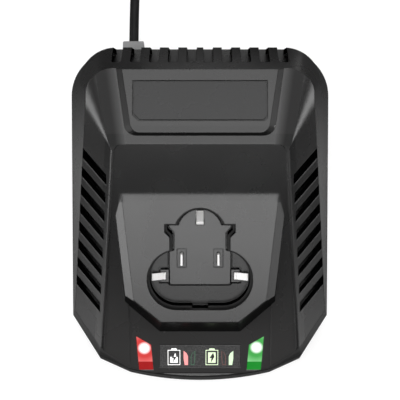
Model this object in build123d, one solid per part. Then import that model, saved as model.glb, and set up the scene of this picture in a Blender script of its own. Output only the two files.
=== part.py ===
from build123d import *
import math
import os

os.makedirs("parts", exist_ok=True)

# Plan outline of the tray, left half, before its back corners are rounded
rear_y = 69.5
rear_half = 54.7
shoulder_half = 51.9
shoulder_y = -44.0
arm_half = 41.2
arm_y = -60.6
lip_half = 28.7
lip_y = -66.2
nose_bulge = 3.3
corner_radius = 20.0

# Heights and drafts of the housings
foot_drop = 1.5
parting_z = 15.0
bend_z = 40.0
hull_top = 66.0
side_draft = 11.4
back_draft = 15.9
arm_draft = 18.0
front_draft = 22.0
back_slope = 54.0
reveal = 0.3
shell_wall = 2.3
tray_wall = 2.3
tray_floor = 2.2
tongue_depth = 2.5
tongue_gap = 0.15
tray_edge_radius = 0.9

# Deck, ramp and flanks
deck_edge_y = 15.0
deck_edge_z = 58.0
deck_tilt = 5.4
ramp_tilt = 26.7
ridge_half = 34.4
ridge_splay = 4.16
flank_lean = 39.7
shoulder_start = 1.2
shoulder_share = 0.75
edge_radius = 0.8
ramp_recess = 0.75
ramp_rim = 0.9
ramp_corner_radius = 3.5

# Raised pad and name plate
pad_rise = 1.15
pad_side_bevel = 2.2
pad_front_y = 20.2
pad_front_half = 28.9
pad_rear_half = 32.9
pad_corner_radius = 5.0
plate_half = 25.9
plate_front_y = 26.4
plate_rear_y = 41.5
plate_thickness = 0.8
plate_groove = 0.45
plate_cut_corner = 2.4
plate_sink = 0.1
pad_rear_margin = 22.0
pad_root = 0.6

# Battery seat: a tilted platform on the ramp
seat_tilt = 18.1
seat_front_y = -49.7
seat_front_z = 33.2
seat_front_half = 15.5
seat_hip_half = 29.8
seat_hip_u = 10.6
seat_top_half = 36.4
seat_top_u = 56.0
seat_side_draft = 6.0
seat_front_draft = 12.0
seat_bevel = 3.05
seat_bevel_drop = 1.3
seat_wall = 2.9
seat_edge_radius = 0.6
seat_floor_z = 18.0
seat_stock = 22.0

# Three-lobed pocket for the battery's stem, in the seat's own plane
lobe_half_pitch = 8.9
lobe_u = 17.1
lobe_radius = 12.1
top_lobe_u = 35.1
top_lobe_radius = 10.6
neck_half = 12.0
neck_top_u = 34.0
ear_half = 14.0
ear_low_u = 36.0
ear_high_u = 39.3
apron_depth = 5.0
apron_wall = 2.0
socket_step = 1.0
socket_wall = 1.8
socket_depth = 12.0
socket_floor = 2.0
socket_gap = 0.1
socket_notch_half = 3.15
socket_ear_radius = 3.2
socket_ear_thickness = 2.4
socket_ear_bridge = 5.0
socket_ear_spots = [(23.0, 26.8), (19.6, 36.6)]
socket_screw_bite = 2.8

# Terminal block and contacts
block_half = 12.3
block_low_u = 13.6
block_waist_u = 29.5
block_corner_radius = 1.3
block_top = 10.5
block_gap = 0.6
lug_half = 15.9
lug_low_u = 14.5
lug_high_u = 19.7
flange_half = 18.0
flange_low_u = 7.6
flange_high_u = 45.5
flange_thickness = 2.5
flange_top_chamfer = 9.0
flange_low_chamfer = 3.0
block_screw_spot = (14.6, 10.8)
block_boss_radius = 2.4
leaf_width = 2.8
leaf_thickness = 0.5
leaf_slope = 35.0
leaf_length = 5.5
top_leaf_length = 6.2
leaf_root = 14.4
top_leaf_root = 38.5
leaf_side_u = 17.1
bead_radius = 0.8
bead_clearance = 0.05
bead_sink = 0.35
leaf_travel = 6.0
contact_foot = 8.4
relief_depth = 0.75
relief_reach = 1.9
throat_height = 2.0
slot_clearance = 0.2
blade_half_pitch = 7.35
blade_thickness = 0.85
blade_low_u = 22.2
blade_high_u = 26.6
blade_reach = 6.0
blade_foot = 8.4
blade_gap = 0.05
collar_half = 1.85
collar_margin = 1.5
collar_rise = 0.5

# Vent slots
flank_slots = 8
flank_slot_first_y = 16.0
flank_slot_pitch = 6.7
flank_slot_width = 2.5
flank_slot_skew = 48.0
flank_slot_margin = 1.5
flank_slot_reach = 10.6
back_slot_half_gap = 3.3
back_slot_pitch = 7.5
back_slots_a_side = 5
back_slot_width = 3.95
back_slot_corner_radius = 1.0
back_slot_front_y = 51.0
back_slot_sill_z = 18.0
back_ledge_depth = 10.0
back_ledge_half = 38.0

# Front lip
lip_recess = 0.4
lip_side_margin = 0.2
lens_corners = [(-25.8, -53.6), (-19.7, -56.9), (-18.3, -72.0), (-24.2, -72.0), (-25.3, -60.1)]
lens_sill_z = 15.6
lens_gap = 0.12
lens_thickness = 2.6
guide_x = 22.2
guide_y = -58.2
guide_radius = 2.0
label_half = 16.3
label_rear_y = -57.0
label_front_y = -65.6
label_thickness = 0.3
label_gap = 0.1

# Fasteners
screw_radius = 1.3
screw_pilot = 1.15
screw_bite = 6.0
screw_head_radius = 2.6
screw_head_height = 1.8
boss_radius = 3.4
post_radius = 4.2
post_recess = 7.0
housing_screw_spots = [(42.0, 39.0), (34.0, -52.0)]
small_screw_radius = 1.0
small_screw_pilot = 0.9
small_head_radius = 1.9
small_head_height = 1.3
thread_gap = 0.05

# Feet
foot_spots = [(rear_half - 14.7, rear_y - 14.5), (shoulder_half - 8.4, shoulder_y + 7.0)]
foot_radius = 6.0
foot_height = 2.3
foot_gap = 0.15

# Board and what stands on it
board_half = 36.0
board_rear_y = 50.0
board_step_y = -43.0
board_nose_half = 28.0
board_front_y = -61.0
board_z = 8.5
board_thickness = 1.6
board_post_radius = 3.0
board_screw_spots = [(33.0, 46.5), (31.0, -37.0)]

# Transformer and mains filter
core_x = 8.0
core_y = 27.0
core_width = 24.0
core_depth = 12.0
core_height = 22.0
core_leg = 4.0
core_leg_radius = 3.5
winding_bore_gap = 0.1
winding_play = 0.4
winding_lobe_width = 13.0
winding_lobe_depth = 5.0
winding_lobe_out = 3.0
choke_x = -19.6
choke_y = 19.0
choke_width = 17.0
choke_height = 15.0
choke_bar = 4.0
choke_drum_gap = 0.1
suppressor_spot = (-29.0, 33.0)
suppressor_width = 6.0
suppressor_depth = 14.0
suppressor_height = 11.0
suppressor_corner_radius = 0.6
fuse_spot = (-32.6, 12.0)
fuse_radius = 2.6
fuse_length = 20.0
fuse_lift = 2.8
fuse_clip_half_pitch = 8.0
fuse_clip_width = 4.4
fuse_clip_depth = 2.0

# Capacitors, chips, heat sink, header and lamps
bulk_can_spot = (-14.0, 36.0)
bulk_can_radius = 6.5
bulk_can_height = 26.0
bulk_can_bevel = 0.8
output_can_spots = [(16.0, 3.0), (26.0, 3.0)]
output_can_radius = 4.0
output_can_height = 14.0
output_can_bevel = 0.5
bridge_spot = (-5.0, 11.0)
bridge_width = 9.0
bridge_depth = 7.0
bridge_height = 3.4
chip_spot = (5.7, 6.0)
chip_width = 10.0
chip_depth = 6.4
chip_height = 3.2
sink_x = 29.5
sink_y = 24.0
sink_length = 28.0
sink_height = 26.0
sink_plate = 2.5
sink_fins = 6
fin_margin = 1.0
fin_reach = 3.2
fin_thickness = 1.4
tab_hole_lift = 19.0
tab_thickness = 1.3
tab_height = 15.0
tab_lift = 14.0
transistor_depth = 4.4
transistor_width = 10.0
transistor_height = 9.0
transistor_lift = 9.5
transistor_leg_pitch = 2.54
transistor_leg_width = 1.0
transistor_leg_thickness = 0.6
transistor_leg_height = 6.0
tab_screw_length = 4.4
header_y = -6.0
header_width = 15.0
header_depth = 6.0
header_height = 7.0
lamp_radius = 1.5
lamp_height = 4.6
lamp_dome_radius = 1.2
lamp_collar_radius = 1.9
lamp_collar_height = 1.0

# Mains cord
relief_x = -28.3
relief_z = 10.0
relief_width = 9.0
relief_height = 8.6
relief_out = 3.7
relief_neck = 6.8
relief_inside = 2.4
relief_gap = 0.1
cord_diameter = 4.0
cord_sides = 8
lead_sides = 6
lead_radius = 0.75
header_pin_pitch = 2.6
coil_y = 145.0
coil_inner_radius = 16.2
coil_pitch = 4.5
coil_turns = 11.75
coil_layers = 4
coil_rest_z = 3.4
tie_width = 7.0
tie_thickness = 1.0
tie_gap = 0.3
tie_outer_radius = 2.5
tie_inner_radius = 1.6

# Flat two-pin plug
plug_width = 35.3
plug_height = 13.7
plug_length = 24.0
plug_tail = 14.0
plug_tail_diameter = 7.0
plug_pin_pitch = 18.6
plug_pin_diameter = 4.0
plug_pin_length = 19.0
plug_sleeve_length = 10.0
plug_sleeve_diameter = 4.0
plug_pin_core = 3.0
plug_pin_chamfer = 1.4
plug_pin_root = 2.0
plug_sleeve_root = 3.0


def tan(degrees):
    return math.tan(math.radians(degrees))


def inset_corners(corners, insets):
    """Corners of a polygon after each edge has moved inwards by its own inset."""
    lines = []
    for i, (x0, y0) in enumerate(corners):
        x1, y1 = corners[(i + 1) % len(corners)]
        run = math.hypot(x1 - x0, y1 - y0)
        across = (-(y1 - y0) / run * insets[i], (x1 - x0) / run * insets[i])
        lines.append((x0 + across[0], y0 + across[1], x1 - x0, y1 - y0))
    moved = []
    for i, (bx, by, bdx, bdy) in enumerate(lines):
        ax, ay, adx, ady = lines[i - 1]
        t = ((bx - ax) * bdy - (by - ay) * bdx) / (adx * bdy - ady * bdx)
        moved.append((ax + adx * t, ay + ady * t))
    return moved


def outline(side, arm, front, rear, radius):
    """Plan outline of the charger, each kind of edge moved inwards by its own inset."""
    left = [(-rear_half, rear_y), (-shoulder_half, shoulder_y), (-arm_half, arm_y), (-lip_half, lip_y)]
    right = [(-x, y) for x, y in reversed(left)]
    p = inset_corners(left + right, [side, arm, front, front, front, arm, side, rear])
    nose = ThreePointArc(p[3], (0, p[3][1] - nose_bulge), p[4])
    sides = [Line(p[0], p[1]), Line(p[1], p[2]), Line(p[2], p[3]), nose]
    sides += [Line(p[4], p[5]), Line(p[5], p[6]), Line(p[6], p[7]), Line(p[7], p[0])]
    face = make_face(sides)
    return fillet(face.vertices().sort_by(Axis.Y)[-2:], radius)


def tray_outline(inset):
    return outline(inset, inset, inset, inset, corner_radius - inset)


def hull_section(z, wall):
    """Level outline of the upper housing at height z, a wall's thickness inside its skin."""
    rise = z - parting_z
    side = reveal + rise * tan(side_draft)
    rear = reveal + rise * tan(back_draft)
    rear_wall = wall / math.cos(math.radians(back_draft))
    if z > bend_z:
        rear = reveal + (bend_z - parting_z) * tan(back_draft) + (z - bend_z) / tan(back_slope)
        rear_wall = wall / math.sin(math.radians(back_slope))
    side_wall = wall / math.cos(math.radians(side_draft))
    face = outline(
        side + side_wall,
        reveal + rise * tan(arm_draft) + side_wall,
        reveal + rise * tan(front_draft) + side_wall,
        rear + rear_wall,
        corner_radius - side - wall,
    )
    return Pos(0, 0, z) * face


def tilt_plane(degrees, depth):
    """Plane through the deck's front edge, falling forwards, moved down by a depth."""
    slope = math.radians(degrees)
    up = Vector(0, -math.sin(slope), math.cos(slope))
    return Plane(Vector(0, deck_edge_y, deck_edge_z) - up * depth, x_dir=(1, 0, 0), z_dir=up)


def flank_plane(side, depth):
    """Plane of one slotted flank; side is -1 for the left one and 1 for the right one."""
    lean = math.radians(flank_lean)
    forward = tan(ramp_tilt) * math.cos(lean) - tan(ridge_splay) * math.sin(lean)
    out = Vector(side * math.sin(lean), -forward, math.cos(lean)).normalized()
    corner = Vector(side * ridge_half, deck_edge_y, deck_edge_z)
    along = (Vector(0, 1, 0) - out * out.Y).normalized()
    return Plane(corner - out * depth, x_dir=along, z_dir=out)


def tower(wall, low):
    levels = [hull_section(z, wall) for z in (low, bend_z, hull_top)]
    return loft(levels, ruled=True)


def crown(wall, low):
    """The upper housing's block without its seat: drafted sides under deck, ramp and flanks."""
    solid = tower(wall, low)
    ramp_depth = wall + ramp_recess if wall else 0
    cuts = [tilt_plane(deck_tilt, wall), tilt_plane(ramp_tilt, ramp_depth)]
    cuts += [flank_plane(-1, wall), flank_plane(1, wall)]
    for plane in cuts:
        solid = split(solid, bisect_by=plane, keep=Keep.BOTTOM)
    return solid


seat_slope = math.radians(seat_tilt)
seat = Plane(
    (0, seat_front_y, seat_front_z),
    x_dir=(1, 0, 0),
    z_dir=(0, -math.sin(seat_slope), math.cos(seat_slope)),
)


def seat_block(wall):
    """The raised seat as a drafted block standing in the ramp, with its top in the seat's plane."""
    run = math.cos(seat_slope)
    left = [
        (-seat_top_half, seat_front_y + seat_top_u * run),
        (-seat_hip_half, seat_front_y + seat_hip_u * run),
        (-seat_front_half, seat_front_y),
    ]
    corners = left + [(-x, y) for x, y in reversed(left)]
    levels = []
    for z in (seat_floor_z, seat_front_z + seat_stock):
        grow = (seat_front_z - z) * tan(seat_side_draft)
        step = (seat_front_z - z) * tan(seat_front_draft)
        insets = [wall - grow, wall - step, wall - step, wall - step, wall - grow, wall]
        levels.append(Pos(0, 0, z) * make_face(Polyline(*inset_corners(corners, insets), close=True)))
    solid = loft(levels, ruled=True)
    return split(solid, bisect_by=seat.offset(-wall), keep=Keep.BOTTOM)


def distance_to(plane, point):
    return abs((point - plane.origin).dot(plane.z_dir))


def lies_on(edge, *planes):
    points = [edge @ 0, edge @ 0.5, edge @ 1]
    return all(distance_to(plane, point) < 1e-3 for plane in planes for point in points)


def pocket_outline(grow):
    """The pocket's three lobes, waist and ears, grown or shrunk all round."""
    waist = Polygon(
        (-neck_half, lobe_u),
        (neck_half, lobe_u),
        (neck_half, neck_top_u),
        (-neck_half, neck_top_u),
        align=None,
    )
    ears = Polygon(
        (-neck_half, neck_top_u),
        (neck_half, neck_top_u),
        (ear_half, ear_low_u),
        (ear_half, ear_high_u),
        (-ear_half, ear_high_u),
        (-ear_half, ear_low_u),
        align=None,
    )
    low = Polygon(
        (-lobe_half_pitch, lobe_u - lobe_radius),
        (lobe_half_pitch, lobe_u - lobe_radius),
        (lobe_half_pitch, lobe_u + lobe_radius),
        (-lobe_half_pitch, lobe_u + lobe_radius),
        align=None,
    )
    shape = Pos(0, top_lobe_u) * Circle(top_lobe_radius) + waist + ears + low
    for side in (-1, 1):
        shape += Pos(side * lobe_half_pitch, lobe_u) * Circle(lobe_radius)
    return offset(shape, amount=grow, kind=Kind.INTERSECTION) if grow else shape


def in_seat(sketch, top, bottom):
    """A prism in the seat's frame between two depths below its plane."""
    return extrude(seat.offset(-bottom) * sketch, amount=bottom - top)


def cylinder_at(x, y, low, high, radius):
    return Pos(x, y, (low + high) / 2) * Cylinder(radius, high - low)


def mirrored(spots):
    return [(side * x, y) for x, y in spots for side in (-1, 1)]


def prism(corners, low, high):
    return Pos(0, 0, low) * extrude(make_face(Polyline(*corners, close=True)), amount=high - low)


def save(name, shape):
    export_step(shape, f"parts/{name}.step")
    print(name, len(shape.solids()), round(shape.volume, 1))


# Top housing: skin with its rounded edges, lip recess and bevelled seat
deck = tilt_plane(deck_tilt, 0)
ramp = tilt_plane(ramp_tilt, 0)
flanks = [flank_plane(-1, 0), flank_plane(1, 0)]


def shoulder_cut(side):
    """What a shoulder leaves off: a cone from the ridge's corner that widens towards the back."""
    flank = flank_plane(side, 0)
    crease = deck.z_dir.cross(flank.z_dir)
    crease = crease * (1 / crease.Y)
    ridge_end = Vector(side * ridge_half, deck_edge_y, deck_edge_z)
    tip = ridge_end + crease * shoulder_start
    corner = ridge_end + crease * (rear_y - deck_edge_y)
    width = abs(corner.X) - ridge_half
    inwards = Vector(-side, 0, 0)
    down = flank.z_dir.cross(Vector(0, 1, 0)).normalized()
    down = down if down.Z < 0 else down * -1
    turn = math.radians((inwards * -1).get_angle(down))
    radius = width / math.tan(turn / 2)
    width *= shoulder_share
    radius *= shoulder_share
    start = corner + inwards * width
    end = corner + down * width
    centre = start - Vector(0, 0, radius)
    middle = centre + (corner - centre).normalized() * radius
    peak = corner + (corner - centre).normalized() * 0.5
    profile = make_face([Line(start, peak), Line(peak, end), ThreePointArc(end, middle, start)])
    return loft([profile, Vertex(tip.X, tip.Y, tip.Z)], ruled=True)


def ramp_zone(inset, top_y):
    """Plan of the ramp between its two rims, with rounded corners under the ridge."""
    corners = []
    for y in (top_y, lip_y - 20):
        corners.append(ridge_half + (deck_edge_y - y) * tan(ridge_splay) - inset)
    top, low = corners
    zone = Polygon((-top, top_y), (-low, lip_y - 20), (low, lip_y - 20), (top, top_y), align=None)
    return fillet(zone.vertices().sort_by(Axis.Y)[-2:], ramp_corner_radius)


def rounded_crown():
    solid = crown(0, parting_z)
    spines = [e for e in solid.edges() if any(lies_on(e, ramp, flank) for flank in flanks)]
    solid = fillet(spines, edge_radius)
    for side in (-1, 1):
        solid -= shoulder_cut(side)
    slope = tan(ramp_tilt) - tan(deck_tilt)
    brow_y = deck_edge_y + ramp_recess / math.cos(math.radians(ramp_tilt)) / slope
    panel = extrude(ramp_zone(ramp_rim, brow_y), amount=2 * hull_top)
    return solid - split(panel, bisect_by=tilt_plane(ramp_tilt, ramp_recess), keep=Keep.TOP)


def bevelled_seat():
    solid = seat_block(0)
    rim = [e for e in solid.edges() if lies_on(e, seat) and abs(e.center().Y - seat_front_y) < 60]
    flank_rims = [e for e in rim if abs(e.center().X) > seat_hip_half - 1]
    top = [f for f in solid.faces() if distance_to(seat, f.center()) < 1e-3][0]
    solid = chamfer(flank_rims, seat_bevel, seat_bevel_drop, reference=top)
    hip_y = seat_front_y + seat_hip_u
    front_rims = [e for e in solid.edges() if lies_on(e, seat) and e.center().Y < hip_y]
    return fillet(front_rims, seat_edge_radius)


lip_plane = tilt_plane(ramp_tilt, ramp_recess + lip_recess)
lip_zone = Box(2 * (lip_half - lip_side_margin), 60, hull_top * 2)
lip_zone = Pos(0, (seat_front_y + lip_y) / 2 - 10, hull_top / 2) * lip_zone
lip_cut = split(lip_zone, bisect_by=lip_plane, keep=Keep.TOP)
skin = rounded_crown() - lip_cut + bevelled_seat()

# The hollow under the skin, with the apron that hangs round the pocket's mouth
hollow = crown(shell_wall, parting_z - 1) + seat_block(seat_wall)
shell = skin - hollow
apron = in_seat(pocket_outline(apron_wall), 0, apron_depth) & skin
shell += apron
for x, u in mirrored(socket_ear_spots):
    boss = in_seat(Pos(x, u) * Circle(socket_ear_radius), 0, apron_depth) & skin
    shell += boss
for x, y in mirrored(housing_screw_spots):
    shell += cylinder_at(x, y, parting_z + 0.1, hull_top, boss_radius) & skin

# Ledge inside the back wall under the back slots, and the tongue that drops into the tray
ledge_y = rear_y - reveal - back_ledge_depth
ledge = Pos(0, ledge_y + 10, (parting_z + back_slot_sill_z) / 2)
shell += (ledge * Box(2 * back_ledge_half, 20, back_slot_sill_z - parting_z)) & skin
tongue = tray_outline(tray_wall + tongue_gap)
tongue -= Pos(0, 0, -parting_z) * hull_section(parting_z, shell_wall)
tongue = Pos(0, 0, parting_z - tongue_depth) * extrude(tongue, amount=tongue_depth)
relief_room = Box(relief_width + 1.6, 20, 4 * tongue_depth)
tongue -= Pos(relief_x, rear_y, parting_z) * relief_room
shell += tongue

# Raised pad on the deck, its sides bevelled flatter than its front, with the name plate's recess
def pad_sketch(side_inset, front_inset):
    low = pad_front_y - deck_edge_y + front_inset
    high = rear_y - deck_edge_y - pad_rear_margin
    sketch = Polygon(
        (-pad_front_half + side_inset, low),
        (pad_front_half - side_inset, low),
        (pad_rear_half - side_inset, high),
        (-pad_rear_half + side_inset, high),
        align=None,
    )
    return fillet(sketch.vertices().sort_by(Axis.Y)[:2], pad_corner_radius - front_inset)


pad_foot = pad_sketch(0, 0)
pad = loft([deck * pad_foot, deck.offset(pad_rise) * pad_sketch(pad_side_bevel, pad_rise)], ruled=True)
pad += extrude(deck.offset(-pad_root) * pad_foot, amount=pad_root)
shell += pad & tower(0, parting_z)


def plate_sketch(gap):
    low = plate_front_y - deck_edge_y - gap
    high = plate_rear_y - deck_edge_y + gap
    half = plate_half + gap
    cut = plate_cut_corner
    return Polygon(
        (-half + cut, low), (half - cut / 2, low), (half, low + cut / 2), (half, high), (-half, high),
        (-half, low + cut), align=None
    )


plate_seat = deck.offset(pad_rise - plate_thickness - plate_sink)
shell -= extrude(plate_seat * plate_sketch(plate_groove), amount=plate_thickness + 3)
name_plate = extrude(plate_seat * plate_sketch(0), amount=plate_thickness)

# Pocket mouth
shell -= in_seat(pocket_outline(0), -6, apron_depth + 4)


def flank_slot(side, index):
    """One slanted vent slot, cut square to its flank."""
    plane = flank_plane(side, 0)
    outer_y = flank_slot_first_y - index * flank_slot_pitch
    inner_y = outer_y - flank_slot_reach * tan(flank_slot_skew)
    half = flank_slot_width / 2 / math.cos(math.radians(flank_slot_skew))
    corners = []
    for y, reach in ((outer_y, flank_slot_reach), (inner_y, 0)):
        for step in (-half, half) if reach else (half, -half):
            x = ridge_half + (deck_edge_y - y) * tan(ridge_splay) + flank_slot_margin + reach
            height = (plane.origin - Vector(side * x, y + step, 0)).dot(plane.z_dir) / plane.z_dir.Z
            corners.append(plane.to_local_coords(Vector(side * x, y + step, height)))
    face = make_face(Polyline(*[(c.X, c.Y) for c in corners], close=True))
    return extrude(plane.offset(-shell_wall * 1.8) * face, amount=shell_wall * 3)


for side in (-1, 1):
    for index in range(flank_slots):
        shell -= flank_slot(side, index)

for index in range(back_slots_a_side):
    for side in (-1, 1):
        slot = Box(back_slot_width, 40, hull_top)
        slot = fillet(slot.edges().filter_by(Axis.Z).group_by(Axis.Y)[0], back_slot_corner_radius)
        x = side * (back_slot_half_gap + index * back_slot_pitch)
        shell -= Pos(x, back_slot_front_y + 20, back_slot_sill_z + hull_top / 2) * slot

# Lenses, label and their openings in the front lip
def lens_prism(side, gap):
    corners = inset_corners([(-side * x, y) for x, y in lens_corners], [side * gap] * len(lens_corners))
    return prism(corners, lens_sill_z + gap, hull_top)


label_zone = [(-label_half, label_front_y), (label_half, label_front_y)]
label_zone += [(label_half, label_rear_y), (-label_half, label_rear_y)]
label_bed = tilt_plane(ramp_tilt, ramp_recess + lip_recess + label_thickness)


def label_prism(gap):
    corners = inset_corners(label_zone, [gap] * 4)
    return split(prism(corners, parting_z, deck_edge_z), bisect_by=label_bed, keep=Keep.TOP)


lens_shell = skin - crown(lens_thickness, parting_z - 1)
lenses = []
for side in (-1, 1):
    lens = lens_shell & lens_prism(side, lens_gap)
    guide = cylinder_at(side * guide_x, guide_y, 15.4, deck_edge_z, guide_radius)
    lens += guide & crown(lens_thickness - 0.6, parting_z - 1)
    lenses.append(lens)
    shell -= lens_prism(side, 0)
indicator_label = skin & label_prism(label_gap)
shell -= label_prism(0)

for x, y in mirrored(housing_screw_spots):
    shell -= cylinder_at(x, y, parting_z - 1, parting_z + screw_bite, screw_pilot)
for x, u in mirrored(socket_ear_spots):
    shell -= in_seat(Pos(x, u) * Circle(small_screw_pilot), apron_depth - 3.6, apron_depth + 1)
save("top_housing", shell)
save("name_plate", name_plate)
save("indicator_label", indicator_label)
save("red_lens", lenses[0])
save("green_lens", lenses[1])
print("top housing valid", shell.is_valid, len(shell.solids()), shell.bounding_box())


# Battery socket: the cup under the seat, open where the terminal block stands
cup_top = apron_depth + socket_gap
cup_low = socket_depth + socket_floor
cup = in_seat(pocket_outline(socket_wall), cup_top, cup_low)
for x, u in mirrored(socket_ear_spots):
    reach = Pos(x, u) * Circle(socket_ear_radius)
    inward = math.copysign(socket_ear_bridge / 2, x)
    bridge = Pos(x - inward, u) * Rectangle(socket_ear_bridge, 2 * socket_ear_radius)
    cup += in_seat(reach + bridge, cup_top, cup_top + socket_ear_thickness)
inner = pocket_outline(-socket_step)
cup -= in_seat(inner, cup_top - 1, socket_depth)
above_waist = Pos(0, block_waist_u - 2 + 25) * Rectangle(60, 50)


def block_foot(gap):
    """Outline of the terminal block's island with its side lugs, grown by a gap."""
    low = block_low_u - gap
    high = block_waist_u
    stone = Pos(0, (low + high) / 2) * Rectangle(2 * (block_half + gap), high - low)
    stone = fillet(stone.vertices().sort_by(Axis.Y)[:2], block_corner_radius)
    lug_mid = (lug_low_u + lug_high_u) / 2
    lugs = Pos(0, lug_mid) * Rectangle(2 * (lug_half + gap), lug_high_u - lug_low_u + 2 * gap)
    top = pocket_outline(gap - block_gap - socket_step) & above_waist
    return (stone + lugs + top) & pocket_outline(gap - block_gap - socket_step)


cup -= in_seat(block_foot(block_gap), socket_depth - 0.5, cup_low + 1)
notch_u = lobe_u - lobe_radius
cup -= in_seat(Pos(0, notch_u + 1.5) * Rectangle(2 * socket_notch_half, 3), cup_top - 1, socket_depth)
boss_low = cup_low + flange_thickness - 0.1
for x, u in mirrored([block_screw_spot]):
    cup += in_seat(Pos(x, u) * Circle(block_boss_radius), socket_depth + 0.5, boss_low)
    cup -= in_seat(Pos(x, u) * Circle(small_screw_pilot), socket_depth + 0.8, boss_low + 1)
for x, u in mirrored(socket_ear_spots):
    cup -= in_seat(Pos(x, u) * Circle(small_screw_radius + slot_clearance), cup_top - 1, cup_top + 5)
save("battery_socket", cup)


def seat_screws(spots, face, length):
    """Pan-head screws driven upwards, their heads against a face below the seat."""
    group = []
    for x, u in mirrored(spots):
        shank = in_seat(Pos(x, u) * Circle(small_screw_pilot - thread_gap), face - length, face)
        head = in_seat(Pos(x, u) * Circle(small_head_radius), face, face + small_head_height)
        group.append(shank + head)
    return Compound(children=group)


ear_face = cup_top + socket_ear_thickness
save("socket_screws", seat_screws(socket_ear_spots, ear_face, socket_ear_thickness + socket_screw_bite))

# Terminal block: island, lugs and flange, with a slot for each contact
flange_low = cup_low + flange_thickness
block = in_seat(block_foot(0), block_top, cup_low)
flange = Rectangle(2 * flange_half, flange_high_u - flange_low_u)
flange = Pos(0, (flange_low_u + flange_high_u) / 2) * flange
flange = chamfer(flange.vertices().sort_by(Axis.Y)[-2:], flange_top_chamfer)
flange = chamfer(flange.vertices().sort_by(Axis.Y)[:2], flange_low_chamfer)
block += in_seat(flange, cup_low, flange_low)
for x, u in mirrored([block_screw_spot]):
    block -= in_seat(Pos(x, u) * Circle(block_boss_radius + slot_clearance), cup_low - 1, flange_low + 1)
blade_mid = (blade_low_u + blade_high_u) / 2
blade_span = blade_high_u - blade_low_u
for side in (-1, 1):
    collar = Rectangle(2 * collar_half, blade_span + 2 * collar_margin)
    collar = Pos(side * blade_half_pitch, blade_mid) * collar
    block += in_seat(collar, block_top - collar_rise, block_top + 1)
for side in (-1, 1):
    hole = Rectangle(blade_thickness + 2 * blade_gap, blade_span + 2 * blade_gap)
    block -= in_seat(Pos(side * blade_half_pitch, blade_mid) * hole, 0, flange_low + 1)

bead_depth = block_top + bead_sink
swing = contact_foot * math.sin(math.radians(leaf_travel))


def contact_frame(way):
    """Frame at a contact's root bend: X out along the leaf, Y out of the pocket."""
    up = seat.z_dir
    if way == "top":
        spot = seat.from_local_coords(Vector(0, top_leaf_root, -bead_depth))
        return Plane(spot, x_dir=seat.y_dir, z_dir=seat.x_dir)
    side = -1 if way == "left" else 1
    spot = seat.from_local_coords(Vector(side * leaf_root, leaf_side_u, -bead_depth))
    return Plane(spot, x_dir=seat.x_dir * side, z_dir=(seat.x_dir * side).cross(up))


def contact_room(way):
    """What the terminal block leaves free for a contact: groove, relief and foot slot."""
    low = -(flange_low - bead_depth) - 1
    slot_in = leaf_thickness / 2 + swing + slot_clearance
    slot_out = leaf_thickness / 2 + slot_clearance
    foot = Polygon((-slot_in, low), (slot_out, low), (slot_out, 0), (-slot_out, 0), align=None)
    relief = Polygon(
        (0, -relief_depth),
        (relief_reach, -relief_depth),
        (relief_reach, throat_height),
        (0, throat_height),
        align=None,
    )
    throat = Polygon(
        (-bead_radius, 0),
        (bead_radius, 0),
        (bead_radius, throat_height),
        (-bead_radius, throat_height),
        align=None,
    )
    room = Circle(bead_radius + bead_clearance) + foot + relief + throat
    frame = contact_frame(way)
    return extrude(frame * room, amount=leaf_width / 2 + slot_clearance, both=True)


def contact(way, length):
    """Bent bronze strip: rolled root, leaf rising outwards to a rounded tip, and a foot for its lead."""
    slope = math.radians(leaf_slope)
    leaf = Rot(0, 0, leaf_slope) * Pos(length / 2, 0) * Rectangle(length, leaf_thickness)
    tip = Pos(length * math.cos(slope), length * math.sin(slope)) * Circle(leaf_thickness * 0.8)
    foot = Pos(0, -contact_foot / 2) * Rectangle(leaf_thickness, contact_foot)
    profile = Circle(bead_radius) + leaf + tip + foot
    return extrude(contact_frame(way) * profile, amount=leaf_width / 2, both=True)


for way in ("top", "left", "right"):
    block -= contact_room(way)
save("terminal_block", block)
save("top_contact", contact("top", top_leaf_length))
save("left_contact", contact("left", leaf_length))
save("right_contact", contact("right", leaf_length))
for way in ("top", "left", "right"):
    frame = contact_frame(way)
    print(way, "root", [round(v, 4) for v in frame.origin], "axis", [round(-v, 6) for v in frame.z_dir])
for side, name in ((-1, "left_blade"), (1, "right_blade")):
    strip = Pos(side * blade_half_pitch, blade_mid) * Rectangle(blade_thickness, blade_span)
    blade = in_seat(strip, block_top - blade_reach, block_top + blade_foot)
    top_edges = [e for e in blade.edges() if lies_on(e, seat.offset(blade_reach - block_top))]
    save(name, chamfer([e for e in top_edges if e.length > 1], blade_thickness * 0.3))
save("terminal_screws", seat_screws([block_screw_spot], flange_low, flange_thickness + 1))

# Tray: the bottom housing with its posts, foot recesses and cord notch
tray_z = foot_drop
floor_z = tray_z + tray_floor
tray = Pos(0, 0, tray_z) * extrude(tray_outline(0), amount=parting_z - tray_z)
tray -= Pos(0, 0, floor_z) * extrude(tray_outline(tray_wall), amount=parting_z)
levels = tray.faces().filter_by(Axis.Z).sort_by(Axis.Z)
rims = list(levels[-1].outer_wire().edges()) + list(levels[0].outer_wire().edges())
tray = fillet(rims, tray_edge_radius)
for x, y in mirrored(housing_screw_spots):
    tray += cylinder_at(x, y, floor_z - 0.5, parting_z, post_radius)
    tray -= cylinder_at(x, y, tray_z - 1, tray_z + post_recess, screw_head_radius + 0.4)
    tray -= cylinder_at(x, y, tray_z, parting_z + 1, screw_radius + slot_clearance)
for x, y in mirrored(board_screw_spots):
    tray += cylinder_at(x, y, floor_z - 0.5, board_z, board_post_radius)
    tray -= cylinder_at(x, y, floor_z + 0.6, board_z + 1, small_screw_pilot)
foot_seat = foot_height - foot_drop
for x, y in mirrored(foot_spots):
    tray -= cylinder_at(x, y, tray_z - 1, tray_z + foot_seat, foot_radius + foot_gap)
relief_low = relief_z - relief_height / 2
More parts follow.
